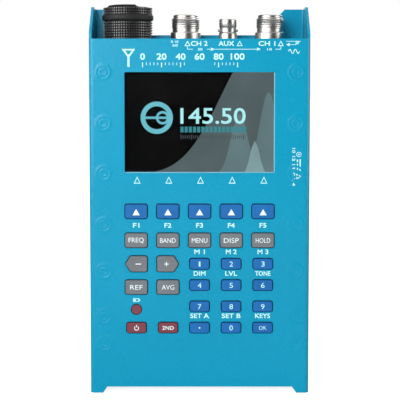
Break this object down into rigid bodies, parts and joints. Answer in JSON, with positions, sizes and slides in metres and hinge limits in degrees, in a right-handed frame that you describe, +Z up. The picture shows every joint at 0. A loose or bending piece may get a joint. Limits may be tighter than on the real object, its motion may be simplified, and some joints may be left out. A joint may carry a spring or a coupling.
{
  "type": "handheld antenna analyzer",
  "caption": "Handheld radio network analyzer in a folded sheet-metal case, with a display window, a keypad, coaxial jacks and a tuning knob between raised side guards.",
  "frame": {"origin": "middle of the bounding box's floor, where the case stands on its lower edges", "axes": "+Z up from the base to the jacks, +Y from the keypad to the back, +X to the right as seen from the front"},
  "size_m": [0.1216, 0.0396, 0.2157],
  "materials": {
    "case_paint": "satin blue powder coat on folded aluminium",
    "key_blue": "satin moulded plastic with white legends",
    "key_grey": "satin moulded plastic with white legends",
    "key_red": "satin moulded plastic with white legends",
    "lamp_red": "translucent red light pipe",
    "lens_clear": "clear hard-coated window",
    "display_black": "dark display glass in a black tray",
    "bracket_metal": "plain aluminium",
    "silicone": "matt grey silicone",
    "board_green": "green circuit board",
    "tinned_steel": "tinned sheet steel",
    "coax_copper": "bare copper tube",
    "battery_wrap": "shrink-wrapped cells",
    "black_plastic": "black moulded plastic",
    "ribbon_film": "amber film",
    "screw_steel": "zinc-plated steel",
    "nickel": "polished nickel plate",
    "insulator_white": "white fluoropolymer",
    "contact_gold": "gold plate",
    "knob_black": "black with a fine square knurl",
    "ring_rubber": "soft black rubber",
    "foot_rubber": "matt black rubber"
  },
  "bodies": {
    "case": {"front_shell": "case_paint", "rear_cover": "case_paint", "top_panel": "case_paint", "bottom_panel": "case_paint", "rear_feet": "foot_rubber", "window_lens": "lens_clear", "display_module": "display_black", "display_bracket": "bracket_metal", "key_mat": "silicone", "status_light": "lamp_red", "key_board": "board_green", "main_board": "board_green", "shield_can": "tinned_steel", "rf_cables": "coax_copper", "battery_pack": "battery_wrap", "beeper": "black_plastic", "flat_cable": "ribbon_film", "side_screws": "screw_steel", "clinch_hardware": "screw_steel", "board_screws": "screw_steel", "af_jack": "nickel", "port_1_jack": "nickel", "port_2_jack": "nickel", "jack_insulators": "insulator_white", "jack_contacts": "contact_gold", "panel_nuts": "nickel", "encoder_body": "black_plastic", "dc_jack": "black_plastic", "usb_socket": "tinned_steel"},
    "tuning_knob": {"knob": "knob_black", "knob_ring": "ring_rubber", "encoder_shaft": "bracket_metal"},
    "soft_key_1_cap": {"soft_key_1": "key_blue"},
    "soft_key_2_cap": {"soft_key_2": "key_blue"},
    "soft_key_3_cap": {"soft_key_3": "key_blue"},
    "soft_key_4_cap": {"soft_key_4": "key_blue"},
    "soft_key_5_cap": {"soft_key_5": "key_blue"},
    "key_center_cap": {"key_center": "key_grey"},
    "key_span_cap": {"key_span": "key_grey"},
    "key_mode_cap": {"key_mode": "key_grey"},
    "key_function_cap": {"key_function": "key_grey"},
    "key_run_cap": {"key_run": "key_grey"},
    "key_minus_cap": {"key_minus": "key_grey"},
    "key_plus_cap": {"key_plus": "key_grey"},
    "key_marker_cap": {"key_marker": "key_grey"},
    "key_amplitude_cap": {"key_amplitude": "key_grey"},
    "key_power_cap": {"key_power": "key_red"},
    "key_shift_cap": {"key_shift": "key_red"},
    "key_point_cap": {"key_point": "key_blue"},
    "key_0_cap": {"key_0": "key_blue"},
    "key_enter_cap": {"key_enter": "key_blue"},
    "key_1_cap": {"key_1": "key_blue"},
    "key_2_cap": {"key_2": "key_blue"},
    "key_3_cap": {"key_3": "key_blue"},
    "key_4_cap": {"key_4": "key_blue"},
    "key_5_cap": {"key_5": "key_blue"},
    "key_6_cap": {"key_6": "key_blue"},
    "key_7_cap": {"key_7": "key_blue"},
    "key_8_cap": {"key_8": "key_blue"},
    "key_9_cap": {"key_9": "key_blue"}
  },
  "joints": [
    {"name": "knob_turn", "type": "hinge", "parent": "case", "child": "tuning_knob", "pos_m": [-0.0401, -0.00075, 0.2115], "axis": [0, 0, 1], "continuous": true},
    {"name": "soft_key_1_press", "type": "slide", "parent": "case", "child": "soft_key_1_cap", "axis": [0, 1, 0], "range_m": [0, 0.0008], "stiffness_N_per_m": 1500, "springref_m": -0.0002, "deforming": ["key_mat"]},
    {"name": "soft_key_2_press", "type": "slide", "parent": "case", "child": "soft_key_2_cap", "axis": [0, 1, 0], "range_m": [0, 0.0008], "stiffness_N_per_m": 1500, "springref_m": -0.0002, "deforming": ["key_mat"]},
    {"name": "soft_key_3_press", "type": "slide", "parent": "case", "child": "soft_key_3_cap", "axis": [0, 1, 0], "range_m": [0, 0.0008], "stiffness_N_per_m": 1500, "springref_m": -0.0002, "deforming": ["key_mat"]},
    {"name": "soft_key_4_press", "type": "slide", "parent": "case", "child": "soft_key_4_cap", "axis": [0, 1, 0], "range_m": [0, 0.0008], "stiffness_N_per_m": 1500, "springref_m": -0.0002, "deforming": ["key_mat"]},
    {"name": "soft_key_5_press", "type": "slide", "parent": "case", "child": "soft_key_5_cap", "axis": [0, 1, 0], "range_m": [0, 0.0008], "stiffness_N_per_m": 1500, "springref_m": -0.0002, "deforming": ["key_mat"]},
    {"name": "key_center_press", "type": "slide", "parent": "case", "child": "key_center_cap", "axis": [0, 1, 0], "range_m": [0, 0.0008], "stiffness_N_per_m": 1500, "springref_m": -0.0002, "deforming": ["key_mat"]},
    {"name": "key_span_press", "type": "slide", "parent": "case", "child": "key_span_cap", "axis": [0, 1, 0], "range_m": [0, 0.0008], "stiffness_N_per_m": 1500, "springref_m": -0.0002, "deforming": ["key_mat"]},
    {"name": "key_mode_press", "type": "slide", "parent": "case", "child": "key_mode_cap", "axis": [0, 1, 0], "range_m": [0, 0.0008], "stiffness_N_per_m": 1500, "springref_m": -0.0002, "deforming": ["key_mat"]},
    {"name": "key_function_press", "type": "slide", "parent": "case", "child": "key_function_cap", "axis": [0, 1, 0], "range_m": [0, 0.0008], "stiffness_N_per_m": 1500, "springref_m": -0.0002, "deforming": ["key_mat"]},
    {"name": "key_run_press", "type": "slide", "parent": "case", "child": "key_run_cap", "axis": [0, 1, 0], "range_m": [0, 0.0008], "stiffness_N_per_m": 1500, "springref_m": -0.0002, "deforming": ["key_mat"]},
    {"name": "key_minus_press", "type": "slide", "parent": "case", "child": "key_minus_cap", "axis": [0, 1, 0], "range_m": [0, 0.0008], "stiffness_N_per_m": 1500, "springref_m": -0.0002, "deforming": ["key_mat"]},
    {"name": "key_plus_press", "type": "slide", "parent": "case", "child": "key_plus_cap", "axis": [0, 1, 0], "range_m": [0, 0.0008], "stiffness_N_per_m": 1500, "springref_m": -0.0002, "deforming": ["key_mat"]},
    {"name": "key_marker_press", "type": "slide", "parent": "case", "child": "key_marker_cap", "axis": [0, 1, 0], "range_m": [0, 0.0008], "stiffness_N_per_m": 1500, "springref_m": -0.0002, "deforming": ["key_mat"]},
    {"name": "key_amplitude_press", "type": "slide", "parent": "case", "child": "key_amplitude_cap", "axis": [0, 1, 0], "range_m": [0, 0.0008], "stiffness_N_per_m": 1500, "springref_m": -0.0002, "deforming": ["key_mat"]},
    {"name": "key_power_press", "type": "slide", "parent": "case", "child": "key_power_cap", "axis": [0, 1, 0], "range_m": [0, 0.0008], "stiffness_N_per_m": 1500, "springref_m": -0.0002, "deforming": ["key_mat"]},
    {"name": "key_shift_press", "type": "slide", "parent": "case", "child": "key_shift_cap", "axis": [0, 1, 0], "range_m": [0, 0.0008], "stiffness_N_per_m": 1500, "springref_m": -0.0002, "deforming": ["key_mat"]},
    {"name": "key_point_press", "type": "slide", "parent": "case", "child": "key_point_cap", "axis": [0, 1, 0], "range_m": [0, 0.0008], "stiffness_N_per_m": 1500, "springref_m": -0.0002, "deforming": ["key_mat"]},
    {"name": "key_0_press", "type": "slide", "parent": "case", "child": "key_0_cap", "axis": [0, 1, 0], "range_m": [0, 0.0008], "stiffness_N_per_m": 1500, "springref_m": -0.0002, "deforming": ["key_mat"]},
    {"name": "key_enter_press", "type": "slide", "parent": "case", "child": "key_enter_cap", "axis": [0, 1, 0], "range_m": [0, 0.0008], "stiffness_N_per_m": 1500, "springref_m": -0.0002, "deforming": ["key_mat"]},
    {"name": "key_1_press", "type": "slide", "parent": "case", "child": "key_1_cap", "axis": [0, 1, 0], "range_m": [0, 0.0008], "stiffness_N_per_m": 1500, "springref_m": -0.0002, "deforming": ["key_mat"]},
    {"name": "key_2_press", "type": "slide", "parent": "case", "child": "key_2_cap", "axis": [0, 1, 0], "range_m": [0, 0.0008], "stiffness_N_per_m": 1500, "springref_m": -0.0002, "deforming": ["key_mat"]},
    {"name": "key_3_press", "type": "slide", "parent": "case", "child": "key_3_cap", "axis": [0, 1, 0], "range_m": [0, 0.0008], "stiffness_N_per_m": 1500, "springref_m": -0.0002, "deforming": ["key_mat"]},
    {"name": "key_4_press", "type": "slide", "parent": "case", "child": "key_4_cap", "axis": [0, 1, 0], "range_m": [0, 0.0008], "stiffness_N_per_m": 1500, "springref_m": -0.0002, "deforming": ["key_mat"]},
    {"name": "key_5_press", "type": "slide", "parent": "case", "child": "key_5_cap", "axis": [0, 1, 0], "range_m": [0, 0.0008], "stiffness_N_per_m": 1500, "springref_m": -0.0002, "deforming": ["key_mat"]},
    {"name": "key_6_press", "type": "slide", "parent": "case", "child": "key_6_cap", "axis": [0, 1, 0], "range_m": [0, 0.0008], "stiffness_N_per_m": 1500, "springref_m": -0.0002, "deforming": ["key_mat"]},
    {"name": "key_7_press", "type": "slide", "parent": "case", "child": "key_7_cap", "axis": [0, 1, 0], "range_m": [0, 0.0008], "stiffness_N_per_m": 1500, "springref_m": -0.0002, "deforming": ["key_mat"]},
    {"name": "key_8_press", "type": "slide", "parent": "case", "child": "key_8_cap", "axis": [0, 1, 0], "range_m": [0, 0.0008], "stiffness_N_per_m": 1500, "springref_m": -0.0002, "deforming": ["key_mat"]},
    {"name": "key_9_press", "type": "slide", "parent": "case", "child": "key_9_cap", "axis": [0, 1, 0], "range_m": [0, 0.0008], "stiffness_N_per_m": 1500, "springref_m": -0.0002, "deforming": ["key_mat"]}
  ]
}
